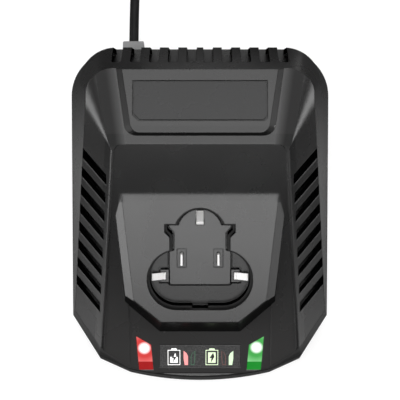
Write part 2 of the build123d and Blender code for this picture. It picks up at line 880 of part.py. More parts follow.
relief_top = parting_z - relief_gap
neck_low = relief_low + 1.2
notch = Box(relief_neck + 2 * relief_gap, 4 * tray_wall, parting_z)
tray -= Pos(relief_x, rear_y - tray_wall / 2, neck_low - relief_gap + parting_z / 2) * notch
save("bottom_housing", tray)

feet = [cylinder_at(x, y, 0, foot_height, foot_radius) for x, y in mirrored(foot_spots)]
feet = [chamfer(foot.edges().group_by(Axis.Z)[0], 0.5) for foot in feet]
for spot, foot in zip(("back_left", "back_right", "front_left", "front_right"), feet):
    save(f"{spot}_foot", foot)
screws = []
for x, y in mirrored(housing_screw_spots):
    head_z = tray_z + post_recess
    head = cylinder_at(x, y, head_z - screw_head_height, head_z, screw_head_radius)
    shank = cylinder_at(x, y, head_z, parting_z + screw_bite - 0.6, screw_pilot - thread_gap)
    screws.append(head + shank)
save("housing_screws", Compound(children=screws))

# Board with its tongue under the lip
top_z = board_z + board_thickness
plan = [(-board_half, board_rear_y), (-board_half, board_step_y), (-board_nose_half, board_step_y)]
plan += [(-board_nose_half, board_front_y)]
plan += [(-x, y) for x, y in reversed(plan)]
board = prism(plan, board_z, top_z)
for x, y in mirrored(board_screw_spots):
    board -= cylinder_at(x, y, board_z - 1, top_z + 1, small_screw_radius + slot_clearance)
save("main_board", board)
board_screws = []
for x, y in mirrored(board_screw_spots):
    head = cylinder_at(x, y, top_z, top_z + small_head_height, small_head_radius)
    board_screws.append(head + cylinder_at(x, y, floor_z + 1.2, top_z, small_screw_pilot - thread_gap))
save("board_screws", Compound(children=board_screws))


# Power parts that stand on the board, tall ones behind the seat
def on_board(x, y, width, depth, height):
    return Pos(x, y, top_z + height / 2) * Box(width, depth, height)


core = on_board(core_x, core_y, core_width, core_depth, core_height)
window = Pos(core_x, core_y, top_z + core_height / 2)
core -= window * Box(core_width - 2 * core_leg, core_depth + 2, core_height - 2 * core_leg)
core += window * Cylinder(core_leg_radius, core_height - 2 * core_leg)
save("transformer_core", core)
coil_height = core_height - 2 * core_leg
winding = Cylinder(core_width / 2 - core_leg - winding_play, coil_height - winding_play)
winding = window * (winding - Cylinder(core_leg_radius + winding_bore_gap, coil_height))
for end in (-1, 1):
    lobe = Box(winding_lobe_width, winding_lobe_depth, coil_height - winding_play)
    winding += window * Pos(0, end * (core_depth / 2 + winding_lobe_out), 0) * lobe
save("transformer_winding", winding - core)


def can_at(spot, radius, height, bevel):
    can = cylinder_at(*spot, top_z, top_z + height, radius)
    return chamfer(can.edges().group_by(Axis.Z)[-1], bevel)


save("bulk_capacitor", can_at(bulk_can_spot, bulk_can_radius, bulk_can_height, bulk_can_bevel))
output_cans = []
for spot in output_can_spots:
    output_cans.append(can_at(spot, output_can_radius, output_can_height, output_can_bevel))
save("output_capacitors", Compound(children=output_cans))

choke_at = Pos(choke_x, choke_y, top_z + choke_height / 2)
choke_core = choke_at * Box(choke_width, choke_bar, choke_height)
choke_core -= choke_at * Box(choke_width - 2 * choke_bar, choke_bar + 2, choke_height - 2 * choke_bar)
save("choke_core", choke_core)
drums = []
for side in (-1, 1):
    leg_at = choke_at * Pos(side * (choke_width - choke_bar) / 2, 0, 0)
    drum = leg_at * Box(2 * choke_bar - 1, 2 * choke_bar, choke_height - 2 * choke_bar - 0.2)
    drums.append(drum - leg_at * Box(choke_bar + choke_drum_gap, choke_bar + choke_drum_gap, choke_height))
save("choke_windings", Compound(children=drums))
suppressor = on_board(*suppressor_spot, suppressor_width, suppressor_depth, suppressor_height)
save("suppression_capacitor", fillet(suppressor.edges().filter_by(Axis.Z), suppressor_corner_radius))
fuse_x, fuse_y = fuse_spot
fuse_tube = Pos(fuse_x, fuse_y, top_z + fuse_lift) * Rot(90, 0, 0) * Cylinder(fuse_radius, fuse_length)
for end in (-1, 1):
    clip_y = fuse_y + end * fuse_clip_half_pitch
    fuse_tube += on_board(fuse_x, clip_y, fuse_clip_width, fuse_clip_depth, fuse_lift)
save("fuse", fuse_tube)
save("bridge_rectifier", on_board(*bridge_spot, bridge_width, bridge_depth, bridge_height))
save("control_chip", on_board(*chip_spot, chip_width, chip_depth, chip_height))

sink = on_board(sink_x, sink_y, sink_plate, sink_length, sink_height)
fin_pitch = (sink_length - 2 * fin_margin) / (sink_fins - 1)
fin_x = sink_x + sink_plate / 2 + fin_reach / 2 - 0.1
for index in range(sink_fins):
    fin_y = sink_y - sink_length / 2 + fin_margin + index * fin_pitch
    sink += on_board(fin_x, fin_y, fin_reach, fin_thickness, sink_height)
tab_z = top_z + tab_hole_lift
sink -= Pos(sink_x, sink_y, tab_z) * Rot(0, 90, 0) * Cylinder(small_screw_pilot, 20)
save("heat_sink", sink)
tab_x = sink_x - sink_plate / 2
body_x = tab_x - transistor_depth / 2
chip = Box(transistor_depth, transistor_width, transistor_height)
chip = Pos(body_x, sink_y, top_z + transistor_lift) * chip
tab = Box(tab_thickness, transistor_width, tab_height)
chip += Pos(tab_x - tab_thickness / 2, sink_y, top_z + tab_lift) * tab
for index in (-1, 0, 1):
    leg_y = sink_y + index * transistor_leg_pitch
    chip += on_board(body_x, leg_y, transistor_leg_thickness, transistor_leg_width, transistor_leg_height)
chip -= Pos(tab_x - 1, sink_y, tab_z) * Rot(0, 90, 0) * Cylinder(small_screw_radius + slot_clearance, 8)
save("switching_transistor", chip)
head_x = tab_x - tab_thickness
screw_head = Rot(0, 90, 0) * Cylinder(small_head_radius, small_head_height)
screw_shank = Rot(0, 90, 0) * Cylinder(small_screw_pilot - thread_gap, tab_screw_length)
tab_screw = Pos(head_x - small_head_height / 2, sink_y, tab_z) * screw_head
tab_screw += Pos(head_x + tab_screw_length / 2, sink_y, tab_z) * screw_shank
save("transistor_screw", tab_screw)

save("lead_header", on_board(0, header_y, header_width, header_depth, header_height))
for side, name in ((-1, "red_lamp"), (1, "green_lamp")):
    dome = cylinder_at(side * guide_x, guide_y, top_z, top_z + lamp_height, lamp_radius)
    dome += cylinder_at(side * guide_x, guide_y, top_z, top_z + lamp_collar_height, lamp_collar_radius)
    save(name, fillet(dome.edges().group_by(Axis.Z)[-1], lamp_dome_radius))


def pipe(edges, radius, sides):
    """One closed tube along straight runs and tangent arcs, with a flat-sided section."""
    end = (Plane(edges[0] @ 0, z_dir=edges[0] % 0) * RegularPolygon(radius, sides)).face()
    skin = [end]
    for edge in edges:
        if edge.geom_type == GeomType.LINE:
            run = extrude(end, amount=edge.length, dir=edge % 0)
        else:
            spoke = (edge @ 0) - edge.arc_center
            axis = Axis(edge.arc_center, spoke.cross(edge % 0))
            run = revolve(end, axis, math.degrees(edge.length / spoke.length))
        ends = [edge @ 0, edge @ 1]
        caps = [f for f in run.faces() if min((f.center() - spot).length for spot in ends) < 0.01]
        skin += [face for face in run.faces() if face not in caps]
        end = min(caps, key=lambda cap: (cap.center() - edge @ 1).length)
    return Solid(Shell(skin + [end]))


def tube(points, radii, radius, sides):
    """A lead or cord along straight runs joined by tangent arcs, and its length."""
    path = FilletPolyline(*points, radius=radii) if len(points) > 2 else Line(*points)
    edges = path.wire().order_edges() if len(points) > 2 else [path.edge()]
    return pipe(edges, radius, sides), path.length


def arc_radii(points):
    """The largest tangent arcs that a route's runs allow."""
    radii = []
    for a, b, c in zip(points, points[1:], points[2:]):
        first = Vector(*b) - Vector(*a)
        second = Vector(*c) - Vector(*b)
        turn = math.radians(first.get_angle(second))
        radii.append(0.45 * min(first.length, second.length) / math.tan(turn / 2))
    return radii


# Leads from the contacts' feet to the header, and from the cord to the board
def bent_lead(points):
    """A stiff inner lead along straight runs with mitred bends."""
    heading = (Vector(*points[1]) - Vector(*points[0])).normalized()
    section = Plane(points[0], z_dir=heading) * RegularPolygon(lead_radius, lead_sides)
    return sweep(section, path=Polyline(*points), transition=Transition.RIGHT)


feet_spots = []
for way in ("left", "top", "right"):
    frame = contact_frame(way)
    feet_spots.append(frame.from_local_coords(Vector(0, -contact_foot, 0)))
for side in (-1, 1):
    foot_low = block_top + blade_foot
    feet_spots.append(seat.from_local_coords(Vector(side * blade_half_pitch, blade_mid, -foot_low)))
feet_spots.sort(key=lambda spot: spot.X)
leads = []
for index, spot in enumerate(feet_spots):
    pin_x = (index - 2) * header_pin_pitch
    end = (pin_x, header_y, top_z + header_height)
    drop = spot + Vector(0, 0, -lead_radius)
    over_z = top_z + header_height + 1.6
    route = [tuple(drop), (drop.X, drop.Y, drop.Z - 1.2), (pin_x, header_y, over_z), end]
    leads.append(bent_lead(route))
save("contact_leads", Compound(children=leads))
mains = []
for side in (-1, 1):
    x = relief_x + side * 1.3
    inner_y = rear_y - tray_wall - relief_inside - relief_gap
    route = [(x, inner_y, relief_z), (x, inner_y - 4.0, relief_z), (x, board_rear_y - 3.0, top_z + 5.5)]
    route += [(x, board_rear_y - 6.0, top_z + 4.0), (x, board_rear_y - 6.0, top_z)]
    mains.append(bent_lead(route))
save("mains_leads", Compound(children=mains))

# Strain relief: outer block, neck in the tray's notch and inner flange
outer_mid_z = (relief_low + relief_top) / 2
block_out = Box(relief_width, relief_out - relief_gap, relief_top - relief_low)
block_out = fillet(block_out.edges().group_by(Axis.Y)[-1], 1.0)
relief = Pos(relief_x, rear_y + (relief_out + relief_gap) / 2, outer_mid_z) * block_out
neck = Box(relief_neck, tray_wall + 2 * relief_gap + 0.4, relief_top - neck_low)
relief += Pos(relief_x, rear_y - tray_wall / 2, (relief_top + neck_low) / 2) * neck
flange_in = Box(relief_width, relief_inside, relief_top - relief_low)
flange_y = rear_y - tray_wall - relief_gap - relief_inside / 2
relief += Pos(relief_x, flange_y, outer_mid_z) * flange_in
save("strain_relief", relief)

# Cord: out of the relief, down to the floor and into the coil
cord_radius = cord_diameter / 2
cord_area = RegularPolygon(cord_radius, cord_sides).area
coil_leg = coil_turns / coil_layers
coil_outer_radius = coil_inner_radius + coil_leg * coil_pitch
coil_x = relief_x - coil_outer_radius
exit_y = rear_y + relief_out
floor_cord_z = cord_radius + 0.05
lead_route = [
    (relief_x, exit_y, relief_z),
    (relief_x, 84.5, relief_z),
    (relief_x, 103.0, floor_cord_z),
    (relief_x, 121.0, floor_cord_z),
    (relief_x, 133.0, coil_rest_z),
    (relief_x, coil_y, coil_rest_z),
]
lead_radii = arc_radii(lead_route)
cord_lead, lead_run = tube(lead_route, lead_radii, cord_radius, cord_sides)
share = cord_lead.volume / (cord_area * lead_run)
print("cord radii", [round(r, 1) for r in lead_radii], "volume", round(share, 4))
save("cord_lead", cord_lead)


def coil_point(turn):
    """Centre of the cord after so many turns: it spirals in and out and climbs at each reversal."""
    leg = turn / coil_leg
    phase = leg % 2
    share = phase if phase <= 1 else 2 - phase
    radius = coil_outer_radius - coil_leg * coil_pitch * share
    climb = 0.0
    for layer in range(1, coil_layers):
        step = min(1.0, max(0.0, (turn - (layer * coil_leg - 0.25)) / 0.5))
        climb += coil_pitch * step * step * (3 - 2 * step)
    angle = 2 * math.pi * turn
    x = coil_x + radius * math.cos(angle)
    y = coil_y + radius * math.sin(angle)
    return Vector(x, y, coil_rest_z + climb)


def biarc(start, heading, end, final):
    """Two tangent arcs from one point and heading to another."""
    gap = end - start
    a = 2 * (1 - heading.dot(final))
    b = 2 * gap.dot(heading + final)
    reach = (-b + math.sqrt(b * b + 4 * a * gap.dot(gap))) / (2 * a)
    middle = (start + heading * reach + end - final * reach) / 2
    onward = (end - final * reach - start - heading * reach).normalized()
    return [TangentArc(start, middle, tangent=heading), TangentArc(middle, end, tangent=onward)]


quarters = int(round(coil_turns * 4))
marks = [index / 4 for index in range(quarters + 1)]
spots = [coil_point(turn) for turn in marks]
headings = [(coil_point(t + 0.02) - coil_point(t - 0.02)).normalized() for t in marks]
headings[0] = Vector(0, 1, 0)
headings[-1] = Vector(1, 0, 0)
arcs = []
for index in range(quarters):
    arcs += biarc(spots[index], headings[index], spots[index + 1], headings[index + 1])
stub = Vector(cord_diameter, 0, 0)
arcs.append(Line(spots[-1], spots[-1] + stub))
coil_path = Wire(arcs)
cord_coil = pipe(arcs, cord_radius, cord_sides)
samples = [coil_path @ (i / 1500) for i in range(1501)]
spacing = coil_path.length / 1500
apart = int(6 * cord_diameter / spacing)
least = min(
    (samples[i] - samples[j]).length for i in range(0, 1501) for j in range(i + apart, 1501)
)
share = cord_coil.volume / (cord_area * coil_path.length)
print("coil length", round(coil_path.length, 1), "volume", round(share, 4))
print("coil least gap", round(least - cord_diameter, 3))
save("cord_coil", cord_coil)

# Tie: a flat band round the coil's turns
tie_low = coil_rest_z - cord_radius - tie_gap
tie_high = coil_rest_z + (coil_layers - 1) * coil_pitch + cord_radius + tie_gap
tie_in = coil_inner_radius - cord_radius - tie_gap
tie_out = coil_outer_radius + cord_radius + tie_gap
tie_room = Rectangle(tie_out - tie_in, tie_high - tie_low)
band = Rectangle(tie_out - tie_in + 2 * tie_thickness, tie_high - tie_low + 2 * tie_thickness)
band = fillet(band.vertices(), tie_outer_radius) - fillet(tie_room.vertices(), tie_inner_radius)
tie_middle = (coil_x - (tie_in + tie_out) / 2, coil_y, (tie_low + tie_high) / 2)
tie_plane = Plane(tie_middle, x_dir=(1, 0, 0), z_dir=(0, 1, 0))
save("cord_tie", extrude(tie_plane * band, amount=tie_width / 2, both=True))

# Tail: from the top of the coil over to the plug, which lies flat
plug_z = plug_height / 2
tail_start = spots[-1] + stub
plug_start_x = tail_start.X + 62.0
tail_route = [
    tuple(tail_start),
    (tail_start.X + 16.0, tail_start.Y, tail_start.Z),
    (tail_start.X + 44.0, tail_start.Y, plug_z),
    (plug_start_x, tail_start.Y, plug_z),
]
tail_radii = arc_radii(tail_route)
cord_tail, tail_run = tube(tail_route, tail_radii, cord_radius, cord_sides)
print("tail radii", [round(r, 1) for r in tail_radii])
save("cord_tail", cord_tail)
print("cord length", round(lead_run + coil_path.length + tail_run, 1))

# Flat two-pin plug with its tapered tail
plug_at = Plane((plug_start_x, tail_start.Y, plug_z), x_dir=(0, 1, 0), z_dir=(1, 0, 0))
tail_end = plug_at.offset(plug_tail + 2) * Circle(plug_tail_diameter * 0.62)
tail_piece = loft([plug_at * Circle(plug_tail_diameter / 2), tail_end])
shell_back = plug_at.offset(plug_tail) * RectangleRounded(plug_width * 0.5, plug_height * 0.82, 4.0)
shell_mid = plug_at.offset(plug_tail + plug_length * 0.5)
shell_mid = shell_mid * RectangleRounded(plug_width * 0.86, plug_height, 4.5)
shell_face = plug_at.offset(plug_tail + plug_length) * RectangleRounded(plug_width, plug_height, 5.5)
plug_body = loft([shell_back, shell_mid, shell_face], ruled=True) + tail_piece
pin_face = plug_tail + plug_length
pins = []
for side in (-1, 1):
    spot = Pos(side * plug_pin_pitch / 2, 0)
    foot = plug_at.offset(pin_face - plug_sleeve_root) * spot
    sleeve = extrude(foot * Circle(plug_sleeve_diameter / 2), amount=plug_sleeve_length + plug_sleeve_root)
    root = plug_at.offset(pin_face - plug_pin_root) * spot
    pin = extrude(root * Circle(plug_pin_core / 2), amount=plug_sleeve_length + plug_pin_root + 0.5)
    tip_base = plug_at.offset(pin_face + plug_sleeve_length) * spot
    tip = extrude(tip_base * Circle(plug_pin_diameter / 2), amount=plug_pin_length - plug_sleeve_length)
    tip = chamfer(tip.edges().group_by(Axis.X)[-1], plug_pin_chamfer)
    pins.append(pin + tip)
    plug_body += sleeve
for pin in pins:
    plug_body -= pin
save("plug_body", plug_body)
save("plug_pins", Compound(children=pins))
print("plug", tuple(plug_at.origin), "face x", plug_start_x + pin_face)
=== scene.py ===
import math

import bmesh
import bpy
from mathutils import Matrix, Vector


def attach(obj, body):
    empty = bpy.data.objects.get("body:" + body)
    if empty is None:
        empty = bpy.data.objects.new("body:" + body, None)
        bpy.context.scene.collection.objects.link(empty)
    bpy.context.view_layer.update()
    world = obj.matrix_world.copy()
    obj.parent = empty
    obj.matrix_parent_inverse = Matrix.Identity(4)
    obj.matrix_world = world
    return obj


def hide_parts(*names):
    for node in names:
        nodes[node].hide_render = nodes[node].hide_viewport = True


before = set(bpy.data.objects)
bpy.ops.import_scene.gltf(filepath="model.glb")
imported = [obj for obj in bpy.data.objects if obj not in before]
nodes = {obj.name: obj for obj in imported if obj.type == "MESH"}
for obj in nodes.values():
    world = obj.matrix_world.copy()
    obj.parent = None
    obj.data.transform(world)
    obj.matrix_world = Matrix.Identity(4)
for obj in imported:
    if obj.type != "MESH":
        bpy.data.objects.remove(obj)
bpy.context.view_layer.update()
scene = bpy.context.scene
scene.view_settings.view_transform = "Standard"

# Camera: almost straight above the charger, a little towards its front lip.
# A long lens from 0.6 m away keeps the sides nearly upright.
camera_lens = bpy.data.cameras.new("camera")
camera_lens.sensor_width = 36.0
camera_lens.lens = 133.3
camera = bpy.data.objects.new("camera", camera_lens)
camera.location = (0.0, -0.1240, 0.6169)
middle_of_view = Vector((0.0, 0.0007, 0.030))
camera.rotation_euler = (middle_of_view - camera.location).to_track_quat("-Z", "Y").to_euler()
scene.collection.objects.link(camera)
scene.camera = camera

# Mains cord: two-core round PVC flex, 4 mm thick. It leaves the grey relief at the back,
# drops to the table and is wound into a tied coil behind the charger, and ends in the plug.
# The route is in millimetres.
cord_radius = 0.002
route = [(-28.3, 73.2, 10.0), (-28.3, 84.5, 10.0), (-28.3, 103.0, 2.05),
         (-28.3, 121.0, 2.05), (-28.3, 133.0, 3.4)]
coil_turns = 11.75
coil_layers = 4
coil_pitch = 4.5
coil_inner = 16.2
coil_leg = coil_turns / coil_layers
coil_outer = coil_inner + coil_leg * coil_pitch
coil_x = route[-1][0] - coil_outer
coil_y = 145.0
coil_z = route[-1][2]
points_a_turn = 16
climb_turns = 0.5
# The smooth curve runs inside its points, so these stand a little further out than the coil.
outward = 1.0195
for step in range(int(coil_turns * points_a_turn) + 1):
    turn = step / points_a_turn
    phase = (turn / coil_leg) % 2
    share = phase if phase <= 1 else 2 - phase
    radius = (coil_outer - coil_leg * coil_pitch * share) * outward
    rise = 0.0
    for layer in range(1, coil_layers):
        climbed = (turn - (layer * coil_leg - climb_turns / 2)) / climb_turns
        part = min(1.0, max(0.0, climbed))
        rise += coil_pitch * part * part * (3 - 2 * part)
    angle = 2 * math.pi * turn
    x = coil_x + radius * math.cos(angle)
    y = coil_y + radius * math.sin(angle)
    route.append((x, y, coil_z + rise))
route += [(-37.72, 115.58, 16.9), (-9.72, 115.58, 6.85), (8.28, 115.58, 6.85)]
cord_line = bpy.data.curves.new("cord", "CURVE")
cord_line.dimensions = "3D"
cord_line.bevel_depth = 1.0
cord_line.bevel_resolution = 6
cord_line.resolution_u = 5
cord_line.use_fill_caps = True
spline = cord_line.splines.new("NURBS")
spline.points.add(len(route) - 1)
for point, (x, y, z) in zip(spline.points, route):
    point.co = (x / 1000, y / 1000, z / 1000, 1.0)
    point.radius = cord_radius
spline.order_u = 3
spline.use_endpoint_u = True
cord = bpy.data.objects.new("cord", cord_line)
scene.collection.objects.link(cord)
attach(cord, "charger")
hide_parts("cord_lead", "cord_coil", "cord_tail")


def mottled(name, scale, low, high, detail=2.0):
    """A new look whose colour drifts between two tones."""
    look = bpy.data.materials.new(name)
    look.use_nodes = True
    tree = look.node_tree
    place = tree.nodes.new("ShaderNodeTexCoord")
    mottle = tree.nodes.new("ShaderNodeTexNoise")
    mottle.name = "mottle"
    mottle.inputs["Scale"].default_value = scale
    mottle.inputs["Detail"].default_value = detail
    tone = tree.nodes.new("ShaderNodeValToRGB")
    tone.name = "tone"
    tone.color_ramp.elements[0].color = (*low, 1)
    tone.color_ramp.elements[1].color = (*high, 1)
    tree.links.new(place.outputs["Object"], mottle.inputs["Vector"])
    tree.links.new(mottle.outputs["Fac"], tone.inputs["Fac"])
    tree.links.new(tone.outputs["Color"], tree.nodes["Principled BSDF"].inputs["Base Color"])
    return look


def spread(tree, value, start, end, low=0.0, high=1.0):
    """Spreads a value's stretch from start to end over low to high."""
    node = tree.nodes.new("ShaderNodeMapRange")
    node.inputs["From Min"].default_value = start
    node.inputs["From Max"].default_value = end
    node.inputs["To Min"].default_value = low
    node.inputs["To Max"].default_value = high
    tree.links.new(value, node.inputs["Value"])
    return node.outputs["Result"]


def dulled(look, low, high, start=0.0, end=1.0):
    """Lets a look's roughness follow its mottle."""
    tree = look.node_tree
    dull = spread(tree, tree.nodes["mottle"].outputs["Fac"], start, end, low, high)
    dull.node.name = "dull"
    tree.links.new(dull, tree.nodes["Principled BSDF"].inputs["Roughness"])


def raised(look, pattern, strength, depth):
    """Raises a look's surface by a pattern, and gives the node that does it."""
    tree = look.node_tree
    bump = tree.nodes.new("ShaderNodeBump")
    bump.inputs["Strength"].default_value = strength
    bump.inputs["Distance"].default_value = depth
    tree.links.new(pattern.outputs["Fac"], bump.inputs["Height"])
    tree.links.new(bump.outputs["Normal"], tree.nodes["Principled BSDF"].inputs["Normal"])
    return bump


pvc = mottled("cord_pvc", 160.0, (0.006, 0.006, 0.0064), (0.011, 0.011, 0.0115), detail=4.0)
pvc.node_tree.nodes["Principled BSDF"].inputs["Specular IOR Level"].default_value = 0.1
dulled(pvc, low=0.38, high=0.52)
raised(pvc, pvc.node_tree.nodes["mottle"], strength=0.15, depth=0.0001)
cord_line.materials.append(pvc)

# Housing, tray, socket: injection-moulded black ABS with a fine spark-eroded texture.
# The top shell sits on the tray's tongue and four screws from below hold them together.
cloud_from = 0.3
cloud_to = 0.7
shell = mottled("moulded_shell", 45.0, (0.0068, 0.0066, 0.0066), (0.0092, 0.0089, 0.0089), detail=5.0)
tree = shell.node_tree
tree.nodes["tone"].color_ramp.elements[0].position = cloud_from
tree.nodes["tone"].color_ramp.elements[1].position = cloud_to
dulled(shell, low=0.25, high=0.29, start=cloud_from, end=cloud_to)
grain = tree.nodes.new("ShaderNodeTexNoise")
grain.name = "grain"
grain.inputs["Scale"].default_value = 2600.0
grain.inputs["Detail"].default_value = 3.0
tree.links.new(tree.nodes["Texture Coordinate"].outputs["Object"], grain.inputs["Vector"])
edge = tree.nodes.new("ShaderNodeBevel")
edge.name = "edge"
edge.samples = 6
edge.inputs["Radius"].default_value = 0.0004
texture = raised(shell, grain, strength=0.08, depth=0.00006)
tree.links.new(edge.outputs["Normal"], texture.inputs["Normal"])


def dress(look, *names):
    """Gives pieces of the frame one look all over."""
    for name in names:
        nodes[name].data.materials.clear()
        nodes[name].data.materials.append(look)


def variant(look, name, tones=None, gloss=None, dullness=None):
    """A copy of a look, with its own two tones, gloss or range of roughness where they are given."""
    copy = look.copy()
    copy.name = name
    parts = copy.node_tree.nodes
    if tones:
        for stop, tone in zip(parts["tone"].color_ramp.elements, tones):
            stop.color = (*tone, 1)
    if gloss is not None:
        parts["Principled BSDF"].inputs["Specular IOR Level"].default_value = gloss
    if dullness:
        parts["dull"].inputs["To Min"].default_value = dullness[0]
        parts["dull"].inputs["To Max"].default_value = dullness[1]
    return copy


dress(shell, "bottom_housing")
cup = variant(shell, "socket_shell", gloss=0.32)
dress(cup, "battery_socket")

# Walls of the pocket, vents, back slots, plate recess and socket: painted shade, near black and dull.
# The seat's own steep sides are painted shade too, near black but glossy, and mirror the lamps faintly,
# and the bevels beside the pad have little gloss. The tests pick faces by place, in metres, and by cosines
# of direction.
seat_slope = 18.1
lip_slope = 26.7
deck_slope = 5.4
deck_level = 0.05633


def upward(slope):
    """The direction square to a plane that rises towards the back by a slope in degrees."""
    return Vector((0.0, -math.sin(math.radians(slope)), math.cos(math.radians(slope))))


seat_up = upward(seat_slope)
lip_up = upward(lip_slope)
deck_up = upward(deck_slope)


def finish_faces(name, look, chosen):
    """Gives a look of their own to the faces of a piece that a test on place and direction picks."""
    mesh = nodes[name].data
    mesh.materials.append(look)
    for face in mesh.polygons:
        if chosen(face.center, face.normal):
            face.material_index = len(mesh.materials) - 1


def steep_wall(place, facing):
    """The walls of the socket and the terminal block that stand steep on the seat's plane."""
    return abs(facing.dot(seat_up)) < 0.6


def socket_rim(place, facing):
    """The flat top edge of the socket, close under the seat."""
    rim_level = 0.040
    return facing.dot(seat_up) > 0.9 and place.dot(seat_up) > rim_level


def pocket_wall(place, facing):
    """The pocket's steep walls, square to the seat."""
    half_width = 0.0226
    front = -0.0466
    back = -0.0015
    floor_level = 0.030
    inside = abs(place.x) < half_width and front < place.y < back and place.dot(seat_up) > floor_level
    return inside and abs(facing.dot(seat_up)) < 0.3


def vent_wall(place, facing):
    """The walls of the slanted vents, square to their flank."""
    inner = 0.034
    outer = 0.057
    front = -0.060
    back = 0.030
    lowest = 0.012
    flank_out = Vector((math.copysign(0.615, place.x), -0.318, 0.722))
    beside = inner < abs(place.x) < outer and front < place.y < back and place.z > lowest
    return beside and abs(facing.dot(flank_out)) < 0.12 and abs(facing.x) > 0.2


def back_slot_wall(place, facing):
    """The side walls of the upright slots in the back."""
    half_width = 0.045
    front = 0.056
    lowest = 0.014
    behind = abs(place.x) < half_width and place.y > front and place.z > lowest
    return behind and abs(facing.x) > 0.9


def plate_wall(place, facing):
    """The low walls round the name plate's recess."""
    half_width = 0.029
    front = 0.012
    lowest = 0.045
    around = abs(place.x) < half_width and place.y > front and place.z > lowest
    return around and abs(facing.z) < 0.3


def pad_side(place, facing):
    """The flat bevels at the sides of the raised pad on the deck."""
    least_rise = 0.0001
    return place.dot(deck_up) > deck_level + least_rise and 0.3 < abs(facing.x) < 0.7


def seat_wall(place, facing):
    """The steep sides of the raised seat, over the front lip and arms."""
    half_width = 0.039
    seat_top = 0.0463
    lip_top = 0.0440
    under = place.dot(seat_up) < seat_top and place.dot(lip_up) > lip_top and abs(place.x) < half_width
    return under and place.y < 0.0 and -0.1 < facing.z < 0.5


# Painted shade: the shell's plastic coloured near black and without gloss, for faces that lie in shadow.
painted_shade_black = variant(shell, "painted_shade_plastic", ((0.0010,) * 3, (0.0016,) * 3), gloss=0.0)
rim = variant(cup, "socket_rim", gloss=0.10)
finish_faces("battery_socket", painted_shade_black, steep_wall)
finish_faces("battery_socket", rim, socket_rim)

# Upper housing: the same plastic, satin all over. On the lip and its two arms light and shade are painted,
# near black at the back and paler towards the front; the seat runs into the ramp in a soft bend, and the
# deck is matt beside the raised pad.
upper = variant(shell, "upper_shell")
tree = upper.node_tree
shader = tree.nodes["Principled BSDF"]
place = tree.nodes["Texture Coordinate"].outputs["Object"]
axes = tree.nodes.new("ShaderNodeSeparateXYZ")
tree.links.new(place, axes.inputs["Vector"])
sideways = axes.outputs["X"]
lengthways = axes.outputs["Y"]


def measure(tree, operation, place, mark):
    """Each point's height along a direction (DOT_PRODUCT) or its distance from a spot (DISTANCE)."""
    node = tree.nodes.new("ShaderNodeVectorMath")
    node.operation = operation
    node.inputs[1].default_value = mark
    tree.links.new(place, node.inputs[0])
    return node.outputs["Value"]


def work_out(tree, operation, *terms):
    """Works out one sum. A term is another node's result or a fixed number."""
    node = tree.nodes.new("ShaderNodeMath")
    node.operation = operation
    for socket, term in zip(node.inputs, terms):
        if isinstance(term, bpy.types.NodeSocket):
            tree.links.new(term, socket)
        else:
            socket.default_value = term
    return node.outputs["Value"]


lip_level = 0.0438
lip_band = 0.0009
arms_back = -0.012
lip_front = -0.058
on_lip = work_out(tree, "COMPARE", measure(tree, "DOT_PRODUCT", place, lip_up), lip_level, lip_band)
# Painted light and shade: the lip's tone runs from near black at the back to pale at the front.
painted_lip_light = tree.nodes.new("ShaderNodeValToRGB")
painted_lip_light.color_ramp.elements[0].color = (0.0016, 0.0016, 0.0016, 1)
painted_lip_light.color_ramp.elements[1].color = (0.024, 0.0234, 0.0232, 1)
tree.links.new(spread(tree, lengthways, arms_back, lip_front), painted_lip_light.inputs["Fac"])
painted_lip_tone = tree.nodes.new("ShaderNodeMix")
painted_lip_tone.data_type = "RGBA"
tree.links.new(on_lip, painted_lip_tone.inputs["Factor"])
tree.links.new(tree.nodes["tone"].outputs["Color"], painted_lip_tone.inputs["A"])
tree.links.new(painted_lip_light.outputs["Color"], painted_lip_tone.inputs["B"])
tree.links.new(painted_lip_tone.outputs["Result"], shader.inputs["Base Color"])
bend_y = -0.0008
bend_reach = 0.0032
bend_radius = 0.0014
seat_half = 0.0335
seat_radius = 0.0004
flank_radius = 0.0008
on_bend = work_out(tree, "COMPARE", lengthways, bend_y, bend_reach)
on_seat = work_out(tree, "COMPARE", sideways, 0.0, seat_half)
bend_on_seat = work_out(tree, "MULTIPLY", on_bend, on_seat)
soft = spread(tree, on_seat, 0.0, 1.0, flank_radius, seat_radius)
softer = work_out(tree, "MULTIPLY_ADD", bend_on_seat, bend_radius, soft)
tree.links.new(softer, tree.nodes["edge"].inputs["Radius"])
deck_band = 0.0002
pad_splay = -0.148
pad_half = 0.0264
matt_half = 0.0304
matt_added = 0.60
on_deck = work_out(tree, "COMPARE", measure(tree, "DOT_PRODUCT", place, deck_up), deck_level, deck_band)
from_middle = work_out(tree, "MULTIPLY_ADD", lengthways, pad_splay, work_out(tree, "ABSOLUTE", sideways))
beyond_pad = spread(tree, from_middle, pad_half, matt_half)
matt = work_out(tree, "MULTIPLY", beyond_pad, on_deck)
rougher = work_out(tree, "MULTIPLY_ADD", matt, matt_added, tree.nodes["dull"].outputs["Result"])
tree.links.new(rougher, shader.inputs["Roughness"])
dress(upper, "top_housing")
# Painted shade on the seat's steep sides: near black, with a little gloss.
painted_shade_glossy = variant(shell, "painted_shade_seat", ((0.0010,) * 3, (0.0014,) * 3), gloss=0.2)
# Painted shade on the top housing's cut walls: pocket, vents, back slots and plate recess.
for cut in (pocket_wall, vent_wall, back_slot_wall, plate_wall):
    finish_faces("top_housing", painted_shade_black, cut)
finish_faces("top_housing", painted_shade_glossy, seat_wall)
low_gloss = variant(shell, "low_gloss_black", gloss=0.12)
finish_faces("top_housing", low_gloss, pad_side)

